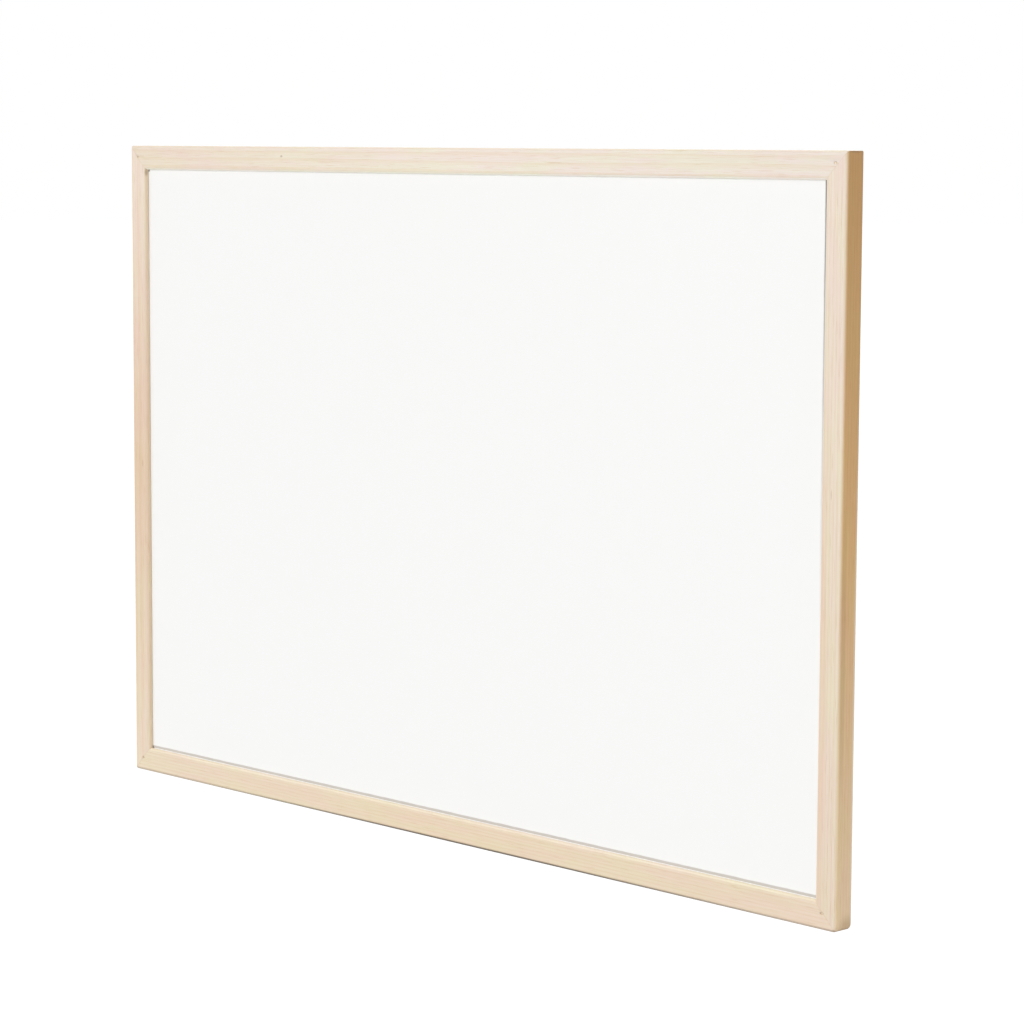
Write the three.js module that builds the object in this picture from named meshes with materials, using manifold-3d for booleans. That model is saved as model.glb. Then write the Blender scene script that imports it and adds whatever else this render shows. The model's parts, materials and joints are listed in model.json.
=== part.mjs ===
// A wall-hung whiteboard in a mitred softwood frame, with the fittings on its back.
// Millimetres. +X runs to the right as seen from the front, +Y runs into the wall, +Z is up.
// The origin lies on the wall, midway between the two hooks that carry the hanger rings.

import * as THREE from 'three';
import { mergeVertices } from 'three/addons/utils/BufferGeometryUtils.js';
import Module from 'manifold-3d';

const wasm = await Module();
wasm.setup();

// Overall size, and the section of the frame members
const boardWidth = 900;
const boardHeight = 600;
const frameDepth = 18.5;
const memberWidth = 22.5;
const lipThickness = 4.25;
const rebateWidth = 5.5;

// Edges of the frame: the front outer edge, the back outer edge and the edge beside the panel
const frontEdgeRadius = 2.75;
const backEdgeRadius = 1.75;
const sightEdgeRadius = 3.25;

// Outline radius of each outer corner: the bottom right one is sanded rounder than the others
const topCornerRadius = 1.25;
const bottomLeftCornerRadius = 2;
const bottomRightCornerRadius = 5;

// The glued joint line of a mitre
const mitreGap = 0.1;

// The panel in the rebate: the writing sheet, the core that fills up the depth, and the back board
const sheetThickness = 0.5;
const backBoardThickness = 2.5;
const backRecess = 3.25;
const panelClearance = 1;

// Steel driven into wood keeps this gap all round
const driveGap = 0.3;

// Pins through the face of each mitre, set below the face
const pinSink = 0.3;
const pinHeadRadius = 1.2;
const pinHeadThickness = 0.8;
const pinShankRadius = 0.7;
const pinLength = 8;
const pinTipLength = 1.5;

// Folded nails across the mitres, driven in from the back
const vNailLeg = 4.5;
const vNailThickness = 0.6;
const vNailSink = 0.25;
const vNailToPin = 1.95;
const vNailHalfAngle = THREE.MathUtils.degToRad(55);
const vNailPlaceShares = { outer: 0.42, inner: 0.72 };

// Flat points that keep the panel in the rebate
const pointWidth = 6;
const pointThickness = 0.5;
const pointReach = 9;
const pointBite = 5;
const pointTipLength = 3;
const railPointShares = [-0.34, 0, 0.34];
const stilePointShares = [-0.25, 0.25];

// Hangers: a strap folded round the straight bar of a wire ring
const ringWireRadius = 1;
const ringBoreClearance = 0.2;
const ringInnerWidth = 12;
const ringCornerRadius = 2;
const ringLegLength = 3;
const ringSeatGap = 0.25;
const strapLeafThickness = 0.8;
const strapWidth = 9;
const strapNeckLength = 5;
const strapEndMargin = 4.5;
const strapToRebate = 0.25;
const hangerDrop = 90;

// Screws that hold the straps
const screwHeadRadius = 2.75;
const screwHeadHeight = 1.8;
const screwShankRadius = 1.25;
const screwLength = 12;
const screwTipLength = 3;
const screwSpacing = 11;
const screwToRing = 1.25;
const screwSlotWidth = 0.8;
const screwSlotDepth = 0.7;
const screwSlotLength = 3.2;

// Rubber pads against the wall
const padRadius = 6;
const padRimRadius = 1;
const padInset = 36;
const padWallClearance = 1;

// Cutters run past the faces that they cut by this much
const overrun = 4;

// Smallest radius that a corner keeps when its outline is drawn inwards
const sharpRadius = 0.05;

// Facets on round shapes
const edgeSteps = 8;
const cornerSteps = 8;
const roundSides = 24;
const wireSides = 12;
const arcSteps = 12;

// Places that follow from the sizes above
const halfWidth = boardWidth / 2;
const halfHeight = boardHeight / 2;
const sightHalfWidth = halfWidth - memberWidth;
const sightHalfHeight = halfHeight - memberWidth;
const landWidth = memberWidth - rebateWidth;
const rebateHalfWidth = halfWidth - landWidth;
const rebateHalfHeight = halfHeight - landWidth;
const panelWidth = 2 * (rebateHalfWidth - panelClearance);
const panelHeight = 2 * (rebateHalfHeight - panelClearance);
const coreFront = lipThickness + sheetThickness;
const panelBack = frameDepth - backRecess;
const coreBack = panelBack - backBoardThickness;
const vNailLength = frameDepth - vNailSink - pinSink - pinLength - vNailToPin;

const barrelBoreRadius = ringWireRadius + ringBoreClearance;
const barrelRadius = barrelBoreRadius + strapLeafThickness;
const strapThickness = 2 * strapLeafThickness;
const hingeDepth = frameDepth + barrelRadius;
const hingeHeight = halfHeight - hangerDrop;
const hangerOffset = rebateHalfWidth + strapToRebate + strapWidth / 2;
const ringHalfWidth = ringInnerWidth / 2 + ringWireRadius;
const ringArcDrop = ringCornerRadius + ringLegLength;
const ringLineReach = ringArcDrop + ringHalfWidth;
const ringCrossing = ringArcDrop + Math.sqrt(ringHalfWidth ** 2 - (strapWidth / 2) ** 2);
const ringLift = strapThickness - barrelRadius + ringWireRadius + ringSeatGap;
const ringRestAngle = Math.asin(ringLift / ringCrossing);
const upperScrewDrop = ringLineReach + ringWireRadius + screwToRing + screwHeadRadius;
const lowerScrewDrop = upperScrewDrop + screwSpacing;
const strapLength = lowerScrewDrop + strapEndMargin;

const padHeight = 2 * barrelRadius + padWallClearance;
const wallDepth = frameDepth + padHeight;
const hookHeight = hingeHeight + ringLineReach - ringWireRadius;

// The four corners: the sides that they lie on, their outline radius, and where the face pin was driven,
// across and down from the corner as shares of the land's width, each a little off as a hand drives it
const corners = {
  top_left: { side: -1, level: 1, radius: topCornerRadius, pinShares: [0.67, 0.62] },
  top_right: { side: 1, level: 1, radius: topCornerRadius, pinShares: [0.73, 0.55] },
  bottom_left: { side: -1, level: -1, radius: bottomLeftCornerRadius, pinShares: [0.75, 0.74] },
  bottom_right: { side: 1, level: -1, radius: bottomRightCornerRadius, pinShares: [0.87, 0.79] },
};

function finish(color, roughness, metalness) {
  return new THREE.MeshStandardMaterial({ color, roughness, metalness });
}

const wood = finish(0xe9d6ba, 0.62, 0);
const lacquer = finish(0xf8f8f6, 0.22, 0);
const fibreboard = finish(0xb79a70, 0.9, 0);
const hardboard = finish(0x7b5536, 0.7, 0);
const pinSteel = finish(0xa8967c, 0.5, 0.6);
const steel = finish(0x9b9fa3, 0.4, 1);
const zinc = finish(0xc3c7ca, 0.3, 1);
const rubber = finish(0x4a4a4c, 0.85, 0);

// A closed geometry as a solid: shared points merged, and the flat triangles at a lathe's poles left out
function toSolid(geometry) {
  const bare = geometry.clone();
  bare.deleteAttribute('normal');
  bare.deleteAttribute('uv');
  const merged = mergeVertices(bare);
  const corner = merged.index.array;
  const triVerts = [];
  for (let i = 0; i < corner.length; i += 3) {
    const [a, b, c] = [corner[i], corner[i + 1], corner[i + 2]];
    if (a !== b && b !== c && c !== a) {
      triVerts.push(a, b, c);
    }
  }
  return new wasm.Manifold(new wasm.Mesh({
    numProp: 3,
    vertProperties: new Float32Array(merged.attributes.position.array),
    triVerts: new Uint32Array(triVerts),
  }));
}

function toGeometry(solid) {
  const { vertProperties, triVerts } = solid.getMesh();
  const geometry = new THREE.BufferGeometry();
  geometry.setAttribute('position', new THREE.BufferAttribute(vertProperties, 3));
  geometry.setIndex(new THREE.BufferAttribute(triVerts, 1));
  geometry.computeVertexNormals();
  return geometry;
}

// A closed skin over loops of equal point counts that run anticlockwise as seen from the front, front to back
function skinLoops(loops) {
  const count = loops[0].length;
  const last = (loops.length - 1) * count;
  const index = [];
  for (let level = 0; level < last; level += count) {
    for (let i = 0; i < count; i += 1) {
      const next = (i + 1) % count;
      const [a, b] = [level + i, level + next];
      index.push(a, a + count, b, b, a + count, b + count);
    }
  }
  for (let i = 1; i < count - 1; i += 1) {
    index.push(0, i, i + 1);
    index.push(last, last + i + 1, last + i);
  }
  const geometry = new THREE.BufferGeometry();
  geometry.setAttribute('position', new THREE.Float32BufferAttribute(loops.flat(2), 3));
  geometry.setIndex(index);
  return geometry;
}

// A quarter round from the face to the side: how far the outline is drawn in, at what depth
function quarterRound(radius) {
  return Array.from({ length: edgeSteps + 1 }, (_, step) => {
    const angle = (Math.PI / 2) * (step / edgeSteps);
    return { inset: radius * (1 - Math.sin(angle)), depth: radius * (1 - Math.cos(angle)) };
  });
}

// The frame's outer outline at one depth, drawn in by an inset
function outerLoop(inset, depth) {
  const order = [corners.bottom_right, corners.top_right, corners.top_left, corners.bottom_left];
  return order.flatMap(({ side, level, radius }, quarter) => {
    const round = Math.max(radius - inset, sharpRadius);
    const centreX = side * (halfWidth - inset - round);
    const centreZ = level * (halfHeight - inset - round);
    return Array.from({ length: cornerSteps + 1 }, (_, step) => {
      const angle = (Math.PI / 2) * (quarter - 1 + step / cornerSteps);
      return [centreX + round * Math.cos(angle), depth, centreZ + round * Math.sin(angle)];
    });
  });
}

// The opening's outline at one depth, spread by the round of its edge
function sightLoop(spread, depth) {
  const x = sightHalfWidth + spread;
  const z = sightHalfHeight + spread;
  return [[x, depth, -z], [x, depth, z], [-x, depth, z], [-x, depth, -z]];
}

function box(sizeX, sizeY, sizeZ, x, y, z) {
  return new THREE.BoxGeometry(sizeX, sizeY, sizeZ).translate(x, y, z);
}

// A shape drawn on X and Z as seen from the front, given thickness from one depth back to another
function plate(shape, front, back) {
  const geometry = new THREE.ExtrudeGeometry(shape, { depth: back - front, bevelEnabled: false });
  return geometry.rotateX(Math.PI / 2).translate(0, back, 0);
}

function polygon(points) {
  return new THREE.Shape(points.map(([x, y]) => new THREE.Vector2(x, y)));
}

// A turned piece about the Y axis, from a profile of radius and depth that starts and ends on the axis
function turned(profile) {
  return new THREE.LatheGeometry(profile.map(([x, y]) => new THREE.Vector2(x, y)), roundSides);
}

function place(geometry, x, y, z) {
  return geometry.clone().translate(x, y, z);
}

// The whole frame before it is parted into members: the outer body, less the opening and the rebate
function frameBody() {
  const front = quarterRound(frontEdgeRadius).map(({ inset, depth }) => outerLoop(inset, depth));
  const back = quarterRound(backEdgeRadius).map(({ inset, depth }) => outerLoop(inset, frameDepth - depth));
  const sight = quarterRound(sightEdgeRadius).map(({ inset, depth }) => sightLoop(inset, depth));
  const openingLoops = [sightLoop(sightEdgeRadius, -overrun), ...sight, sightLoop(0, frameDepth)];
  const rebateDepth = frameDepth - lipThickness + overrun;
  const rebate = box(
    2 * rebateHalfWidth, rebateDepth, 2 * rebateHalfHeight,
    0, lipThickness + rebateDepth / 2, 0,
  );
  return toSolid(skinLoops([...front, ...back.reverse()]))
    .subtract(toSolid(skinLoops(openingLoops)))
    .subtract(toSolid(rebate));
}

// The part of the frame between two mitres, as a wedge that narrows towards the middle of the board
function memberWedge(halfLength, halfAcross, alongX, sign) {
  const inner = memberWidth + overrun;
  const cutBack = mitreGap / Math.SQRT2;
  const [longEnd, shortEnd] = [halfLength + overrun - cutBack, halfLength - inner - cutBack];
  const [outside, inside] = [halfAcross + overrun, halfAcross - inner];
  const along = [[-longEnd, outside], [longEnd, outside], [shortEnd, inside], [-shortEnd, inside]];
  const points = along.map(([a, b]) => (alongX ? [a, sign * b] : [sign * b, a]));
  return plate(polygon(points), -overrun, frameDepth + overrun);
}

// A pin through the face: its head flush with the sink, its tip towards the back
const pinProfile = [
  [0, pinSink],
  [pinHeadRadius, pinSink],
  [pinHeadRadius, pinSink + pinHeadThickness],
  [pinShankRadius, pinSink + pinHeadThickness],
  [pinShankRadius, pinSink + pinLength - pinTipLength],
  [0, pinSink + pinLength],
];

const pinHoleProfile = [
  [0, -overrun],
  [pinHeadRadius + driveGap, -overrun],
  [pinHeadRadius + driveGap, pinSink + pinHeadThickness + driveGap],
  [pinShankRadius + driveGap, pinSink + pinHeadThickness + driveGap],
  [pinShankRadius + driveGap, pinSink + pinLength + driveGap],
  [0, pinSink + pinLength + driveGap],
];

function pinPlace({ side, level, pinShares: [across, down] }) {
  return [side * (halfWidth - across * landWidth), 0, level * (halfHeight - down * landWidth)];
}

// A folded nail seen from the back: two legs that meet on the mitre and point away from the corner
function vNailShape({ side, level }, share, margin) {
  const halfThickness = vNailThickness / 2 + margin;
  const leg = vNailLeg + margin;
  const ends = [-vNailHalfAngle, vNailHalfAngle].map((turn) => turn + Math.PI / 4);
  const middle = Math.PI / 4;
  const apex = halfThickness / Math.sin(vNailHalfAngle);
  const at = (distance, angle, shift, shiftAngle) => [
    distance * Math.cos(angle) + shift * Math.cos(shiftAngle),
    distance * Math.sin(angle) + shift * Math.sin(shiftAngle),
  ];
  const points = [
    at(-apex, middle, 0, 0),
    at(leg, ends[0], halfThickness, ends[0] - Math.PI / 2),
    at(leg, ends[0], halfThickness, ends[0] + Math.PI / 2),
    at(apex, middle, 0, 0),
    at(leg, ends[1], halfThickness, ends[1] - Math.PI / 2),
    at(leg, ends[1], halfThickness, ends[1] + Math.PI / 2),
  ];
  const inset = share * landWidth;
  return polygon(points.map(([u, v]) => [side * (halfWidth - inset - u), level * (halfHeight - inset - v)]));
}

function vNail(corner, share) {
  const back = frameDepth - vNailSink;
  return plate(vNailShape(corner, share, 0), back - vNailLength, back);
}

function vNailHole(corner, share) {
  const back = frameDepth - vNailSink;
  return plate(vNailShape(corner, share, driveGap), back - vNailLength - driveGap, frameDepth + overrun);
}

// Each retaining point: where it leaves the rebate's wall, and the turn that aims its tip into the wood
const pointPlaces = [
  ...railPointShares.map((share, i) => ({
    name: `top_${i + 1}`, x: share * panelWidth, z: rebateHalfHeight, turn: 0,
  })),
  ...railPointShares.map((share, i) => ({
    name: `bottom_${i + 1}`, x: share * panelWidth, z: -rebateHalfHeight, turn: 2,
  })),
  ...stilePointShares.map((share, i) => ({
    name: `left_${i + 1}`, x: -rebateHalfWidth, z: share * panelHeight, turn: 1,
  })),
  ...stilePointShares.map((share, i) => ({
    name: `right_${i + 1}`, x: rebateHalfWidth, z: share * panelHeight, turn: 3,
  })),
];

// A drawing with its tip along +Z, turned by quarter turns and moved to its place
function pointShape(outline, { x, z, turn }) {
  const quarter = [[1, 0], [0, 1], [-1, 0], [0, -1]][turn];
  const turnPoint = ([a, b]) => [x + a * quarter[0] - b * quarter[1], z + a * quarter[1] + b * quarter[0]];
  return polygon(outline.map(turnPoint));
}

function retainingPoint(spot) {
  const half = pointWidth / 2;
  const outline = [
    [-half, -pointReach],
    [half, -pointReach],
    [half, pointBite - pointTipLength],
    [0, pointBite],
    [-half, pointBite - pointTipLength],
  ];
  return plate(pointShape(outline, spot), panelBack, panelBack + pointThickness);
}

function pointSlot(spot) {
  const half = pointWidth / 2 + driveGap;
  const outline = [[-half, -rebateWidth], [half, -rebateWidth], [half, pointBite], [0, pointBite + driveGap],
    [-half, pointBite]];
  return plate(pointShape(outline, spot), panelBack - driveGap, panelBack + pointThickness + driveGap);
}

// A pan-head screw driven towards the front, its head standing on the strap
const screwSeat = frameDepth + strapThickness;
const screwTip = screwSeat - screwLength;
const screwProfile = [
  [0, screwTip],
  [screwShankRadius, screwTip + screwTipLength],
  [screwShankRadius, screwSeat],
  [screwHeadRadius, screwSeat],
  [screwHeadRadius, screwSeat + screwHeadHeight / 2],
  [screwHeadRadius * Math.cos(Math.PI / 6), screwSeat + screwHeadHeight * Math.sin(Math.PI / 3)],
  [screwHeadRadius / 2, screwSeat + screwHeadHeight],
  [0, screwSeat + screwHeadHeight],
];

function screw() {
  const slotDepth = screwSeat + screwHeadHeight - screwSlotDepth / 2 + overrun / 2;
  const across = box(screwSlotLength, screwSlotDepth + overrun, screwSlotWidth, 0, slotDepth, 0);
  const down = box(screwSlotWidth, screwSlotDepth + overrun, screwSlotLength, 0, slotDepth, 0);
  return toGeometry(toSolid(turned(screwProfile)).subtract(toSolid(across)).subtract(toSolid(down)));
}

const screwHoleProfile = [
  [0, screwTip - driveGap],
  [screwShankRadius + driveGap, screwTip - driveGap],
  [screwShankRadius + driveGap, frameDepth + overrun],
  [0, frameDepth + overrun],
];

const strapHoleProfile = [
  [0, frameDepth - overrun],
  [screwShankRadius + driveGap, frameDepth - overrun],
  [screwShankRadius + driveGap, screwSeat + overrun],
  [0, screwSeat + overrun],
];

const screwHeights = { upper: hingeHeight - upperScrewDrop, lower: hingeHeight - lowerScrewDrop };

// The strap in section: two leaves pressed together, and folded round the ring's bar at the top
function strapSection() {
  const foldBack = Math.atan2(barrelRadius - strapThickness, strapNeckLength);
  const section = new THREE.Shape();
  section.moveTo(-strapLength, -barrelRadius);
  section.lineTo(0, -barrelRadius);
  section.absarc(0, 0, barrelRadius, -Math.PI / 2, Math.PI / 2 + foldBack, false);
  section.lineTo(-strapNeckLength, strapThickness - barrelRadius);
  section.lineTo(-strapLength, strapThickness - barrelRadius);
  section.closePath();
  const bore = new THREE.Path();
  bore.absarc(0, 0, barrelBoreRadius, 0, 2 * Math.PI, true);
  section.holes.push(bore);
  return section;
}

// The section runs up and outwards, so it is turned to stand on Z and Y and given the strap's width along X
function strap() {
  const settings = { depth: strapWidth, bevelEnabled: false, curveSegments: arcSteps };
  const folded = new THREE.ExtrudeGeometry(strapSection(), settings);
  const upright = new THREE.Matrix4().set(0, 0, -1, strapWidth / 2, 0, 1, 0, hingeDepth, 1, 0, 0, 0, 0, 0, 0, 1);
  folded.applyMatrix4(upright);
  const half = strapWidth / 2;
  const face = new THREE.Shape();
  face.moveTo(-half, barrelRadius + overrun);
  face.lineTo(-half, half - strapLength);
  face.absarc(0, half - strapLength, half, Math.PI, 2 * Math.PI, false);
  face.lineTo(half, barrelRadius + overrun);
  face.closePath();
  const outline = plate(face, frameDepth - overrun, hingeDepth + barrelRadius + overrun);
  const hole = turned(strapHoleProfile);
  return toSolid(folded)
    .intersect(toSolid(outline))
    .subtract(toSolid(place(hole, 0, 0, -upperScrewDrop)))
    .subtract(toSolid(place(hole, 0, 0, -lowerScrewDrop)));
}

// The middle line of the ring's wire, about the hinge: the bar, two corners, two legs and a half round
function ringLine() {
  const line = [];
  const arc = (centreX, centreZ, radius, start, sweep, steps) => {
    for (let step = 0; step <= steps; step += 1) {
      const angle = start + sweep * (step / steps);
      line.push([centreX + radius * Math.cos(angle), centreZ + radius * Math.sin(angle), angle]);
    }
  };
  const barEnd = ringHalfWidth - ringCornerRadius;
  const bend = arcSteps / 2;
  arc(barEnd, -ringCornerRadius, ringCornerRadius, Math.PI / 2, -Math.PI / 2, bend);
  arc(0, -ringArcDrop, ringHalfWidth, 0, -Math.PI, 2 * arcSteps);
  arc(-barEnd, -ringCornerRadius, ringCornerRadius, Math.PI, -Math.PI / 2, bend);
  return line;
}

// The wire: a round section carried along the closed line, square to it at each point
function ringGeometry() {
  const line = ringLine();
  const positions = line.flatMap(([x, z, angle]) => Array.from({ length: wireSides }, (_, side) => {
    const around = 2 * Math.PI * (side / wireSides);
    const out = ringWireRadius * Math.cos(around);
    return [x + out * Math.cos(angle), ringWireRadius * Math.sin(around), z + out * Math.sin(angle)];
  }));
  const index = [];
  line.forEach((_, i) => {
    const [here, there] = [i * wireSides, ((i + 1) % line.length) * wireSides];
    for (let side = 0; side < wireSides; side += 1) {
      const next = (side + 1) % wireSides;
      index.push(here + side, there + side, here + next);
      index.push(here + next, there + side, there + next);
    }
  });
  const geometry = new THREE.BufferGeometry();
  geometry.setAttribute('position', new THREE.Float32BufferAttribute(positions.flat(), 3));
  geometry.setIndex(index);
  geometry.computeVertexNormals();
  return geometry;
}

// A rubber pad glued to the frame's back, with a softened rim round its flat face
const padProfile = [
  [0, frameDepth],
  [padRadius, frameDepth],
  ...quarterRound(padRimRadius).reverse().map(({ inset, depth }) => [padRadius - inset, wallDepth - depth]),
  [0, wallDepth],
];

function padPlace({ side, level }) {
  return [side * (halfWidth - padInset), 0, level * (halfHeight - landWidth / 2)];
}

const board = new THREE.Group();

function add(name, geometry, material) {
  const mesh = new THREE.Mesh(geometry, material);
  mesh.name = name;
  board.add(mesh);
  return mesh;
}

// Everything that is bored or driven into the frame, taken out of it before it is parted into members
const pinHole = turned(pinHoleProfile);
const screwHole = turned(screwHoleProfile);
const holes = [
  ...Object.values(corners).map((corner) => place(pinHole, ...pinPlace(corner))),
  ...Object.values(corners).flatMap((corner) => Object.values(vNailPlaceShares)
    .map((share) => vNailHole(corner, share))),
  ...pointPlaces.map(pointSlot),
  ...[-1, 1].flatMap((side) => Object.values(screwHeights)
    .map((height) => place(screwHole, side * hangerOffset, 0, height))),
];
const drilledFrame = holes.reduce((body, hole) => body.subtract(toSolid(hole)), frameBody());

const members = {
  top_rail: memberWedge(halfWidth, halfHeight, true, 1),
  bottom_rail: memberWedge(halfWidth, halfHeight, true, -1),
  left_stile: memberWedge(halfHeight, halfWidth, false, -1),
  right_stile: memberWedge(halfHeight, halfWidth, false, 1),
};
Object.entries(members).forEach(([name, wedge]) => {
  add(name, toGeometry(drilledFrame.intersect(toSolid(wedge))), wood);
});

// The panel, front to back
function layer(front, back) {
  return box(panelWidth, back - front, panelHeight, 0, (front + back) / 2, 0);
}
add('writing_sheet', layer(lipThickness, coreFront), lacquer);
add('core_board', layer(coreFront, coreBack), fibreboard);
add('back_board', layer(coreBack, panelBack), hardboard);

const pin = toGeometry(toSolid(turned(pinProfile)));
Object.entries(corners).forEach(([name, corner]) => {
  add(`corner_pin_${name}`, place(pin, ...pinPlace(corner)), pinSteel);
  Object.entries(vNailPlaceShares).forEach(([row, share]) => {
    add(`v_nail_${name}_${row}`, vNail(corner, share), steel);
  });
});

pointPlaces.forEach((spot) => add(`retaining_point_${spot.name}`, retainingPoint(spot), steel));

const strapGeometry = toGeometry(strap());
const screwGeometry = screw();
Object.entries({ left: -1, right: 1 }).forEach(([name, side]) => {
  const x = side * hangerOffset;
  add(`hanger_strap_${name}`, place(strapGeometry, x, 0, hingeHeight), zinc);
  Object.entries(screwHeights).forEach(([row, height]) => {
    add(`hanger_screw_${name}_${row}`, place(screwGeometry, x, 0, height), zinc);
  });
  const ring = add(`hanger_ring_${name}`, ringGeometry(), zinc);
  ring.position.set(x, hingeDepth, hingeHeight);
  ring.rotation.x = ringRestAngle;
});

const pad = toGeometry(toSolid(turned(padProfile)));
Object.entries(corners).forEach(([name, corner]) => {
  add(`wall_pad_${name}`, place(pad, ...padPlace(corner)), rubber);
});

board.position.set(0, -wallDepth, -hookHeight);

const part = new THREE.Group();
part.add(board);

export default part;
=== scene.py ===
import json

import bmesh
import bpy
import numpy as np
from mathutils import Matrix, Vector


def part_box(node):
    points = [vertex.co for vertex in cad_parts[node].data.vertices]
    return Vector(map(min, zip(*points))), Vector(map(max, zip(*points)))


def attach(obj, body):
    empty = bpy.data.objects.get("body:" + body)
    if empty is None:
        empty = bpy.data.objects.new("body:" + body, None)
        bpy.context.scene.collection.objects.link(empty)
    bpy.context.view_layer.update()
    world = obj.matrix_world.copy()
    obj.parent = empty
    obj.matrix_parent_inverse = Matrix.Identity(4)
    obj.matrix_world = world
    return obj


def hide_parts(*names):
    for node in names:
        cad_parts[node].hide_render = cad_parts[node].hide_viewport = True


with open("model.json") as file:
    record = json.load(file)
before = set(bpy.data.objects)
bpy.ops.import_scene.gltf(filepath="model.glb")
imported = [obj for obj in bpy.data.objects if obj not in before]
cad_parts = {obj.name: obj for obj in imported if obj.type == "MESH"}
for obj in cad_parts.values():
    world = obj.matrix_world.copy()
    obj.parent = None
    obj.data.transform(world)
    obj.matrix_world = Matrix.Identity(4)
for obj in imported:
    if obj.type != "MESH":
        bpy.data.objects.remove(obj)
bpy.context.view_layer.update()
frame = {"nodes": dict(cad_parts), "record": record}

# Camera
# It stands to the right of the board and a little above its middle, 2.8 m away, and looks slightly down.
# Its place, turn and lens come from straight lines fitted to the board's edges in the photograph.
CAMERA_PLACE = (2.0854, -1.8965, 0.0841)
CAMERA_AZIMUTH = np.radians(46.919)
CAMERA_ELEVATION = np.radians(6.440)
CAMERA_ROLL = np.radians(0.271)
LENS_MM = 115.24
SENSOR_MM = 36
CLIP_RANGE = (0.05, 100)


def way_to(azimuth, elevation):
    """The way from the board to a camera or lamp: azimuth turns from the front to the right, elevation is
    above the level."""
    return Vector((
        np.sin(azimuth) * np.cos(elevation), -np.cos(azimuth) * np.cos(elevation), np.sin(elevation),
    ))


camera = bpy.data.objects.new("camera", bpy.data.cameras.new("camera"))
bpy.context.scene.collection.objects.link(camera)
bpy.context.scene.camera = camera
camera.data.lens = LENS_MM
camera.data.sensor_width = SENSOR_MM
camera.data.clip_start, camera.data.clip_end = CLIP_RANGE
level_turn = (-way_to(CAMERA_AZIMUTH, CAMERA_ELEVATION)).to_track_quat("-Z", "Y").to_matrix().to_4x4()
roll = Matrix.Rotation(CAMERA_ROLL, 4, "Z")
camera.matrix_world = Matrix.Translation(CAMERA_PLACE) @ level_turn @ roll

# Rails and stiles
# Four lengths of pale, straight-grained softwood, planed to one section with a rebate behind the lip,
# mitred, glued and pinned, then sanded round at the edges and sealed clear and matt. The bottom right
# corner was sanded rounder than the other three.
MM = 0.001
FACE_WIDTH = 22.5 * MM
LIP_THICKNESS = 4.25 * MM
REBATE_WIDTH = 5.5 * MM
FRONT_EDGE_RADIUS = 2.75 * MM
BACK_EDGE_RADIUS = 1.75 * MM
SIGHT_EDGE_RADIUS = 3.25 * MM
SAWN_ARRIS_RADIUS = 0.35 * MM
CORNER_RADII = {
    "top_left": 1.25 * MM, "top_right": 1.25 * MM, "bottom_right": 5 * MM, "bottom_left": 2 * MM,
}
GLUE_LINE = 0.03 * MM
FLAT_MARGIN = 0.2 * MM
SAME_POINT = 0.004 * MM
SHARP_ABOVE = np.radians(35)
LAND_WIDTH = FACE_WIDTH - REBATE_WIDTH

board_low = Vector((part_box("left_stile")[0].x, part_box("bottom_rail")[0].y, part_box("bottom_rail")[0].z))
board_high = Vector((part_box("right_stile")[1].x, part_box("top_rail")[1].y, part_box("top_rail")[1].z))
board_middle = (board_low + board_high) / 2
board_width, frame_depth, board_height = board_high - board_low


def linear(hex_colour):
    """A written sRGB colour as the linear numbers that a shader takes."""
    srgb = np.array([int(hex_colour[place:place + 2], 16) for place in (1, 3, 5)]) / 255
    return (*np.where(srgb <= 0.04045, srgb / 12.92, ((srgb + 0.055) / 1.055) ** 2.4), 1)


def add_node(material, kind, inputs=None, stops=None, **settings):
    """Adds one shader node of a kind: settings are its own properties, inputs are numbers, hex colours or
    sockets to join, and stops are the places and colours of a ramp. Returns its outputs."""
    tree = material.node_tree
    made = tree.nodes.new(f"ShaderNode{kind}")
    for name, value in settings.items():
        setattr(made, name, value)
    for key, value in (inputs or {}).items():
        if isinstance(value, bpy.types.NodeSocket):
            tree.links.new(value, made.inputs[key])
        elif isinstance(value, str):
            made.inputs[key].default_value = linear(value)
        else:
            made.inputs[key].default_value = value
    for number, (place, colour) in enumerate(stops or []):
        ramp = made.color_ramp.elements
        stop = ramp[number] if number < 2 else ramp.new(place)
        stop.position = place
        stop.color = linear(colour)
    return made.outputs


def new_material(name, colour, **numbers):
    """A material named for what the real one is, with the colour and numbers that are the same all over it.
    Returns it, its shader, and a function that adds nodes to it."""
    made = bpy.data.materials.new(name)
    made.use_nodes = True
    shader = made.node_tree.nodes["Principled BSDF"]
    shader.inputs["Base Color"].default_value = linear(colour)
    for key, value in numbers.items():
        shader.inputs[key.replace("_", " ")].default_value = value

    def node(kind, inputs=None, stops=None, **settings):
        return add_node(made, kind, inputs, stops, **settings)

    return made, shader, node


def join(material, shader, **sockets):
    """Leads nodes' results into the shader."""
    for name, socket in sockets.items():
        material.node_tree.links.new(socket, shader.inputs[name.replace("_", " ")])


def quarter(across, deep, radius, start):
    """A quarter circle in a section: the centre plus radius times (cos, sin), anticlockwise from start."""
    angle = start + np.linspace(0, np.pi / 2, 11)
    return np.stack([across + radius * np.cos(angle), deep + radius * np.sin(angle)], axis=1)


def flat(start, end):
    """Two points on a straight stretch of a section, a little in from its ends, to keep its shading flat."""
    start, end = np.array(start), np.array(end)
    step = FLAT_MARGIN * (end - start) / np.linalg.norm(end - start)
    return np.stack([start + step, end - step])


def clean(piece):
    """Merges doubled points and turns every face outwards."""
    work = bmesh.new()
    work.from_mesh(piece.data)
    bmesh.ops.remove_doubles(work, verts=work.verts, dist=SAME_POINT)
    bmesh.ops.dissolve_degenerate(work, edges=work.edges, dist=SAME_POINT)
    bmesh.ops.recalc_face_normals(work, faces=work.faces)
    work.to_mesh(piece.data)
    work.free()
    return piece


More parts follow.
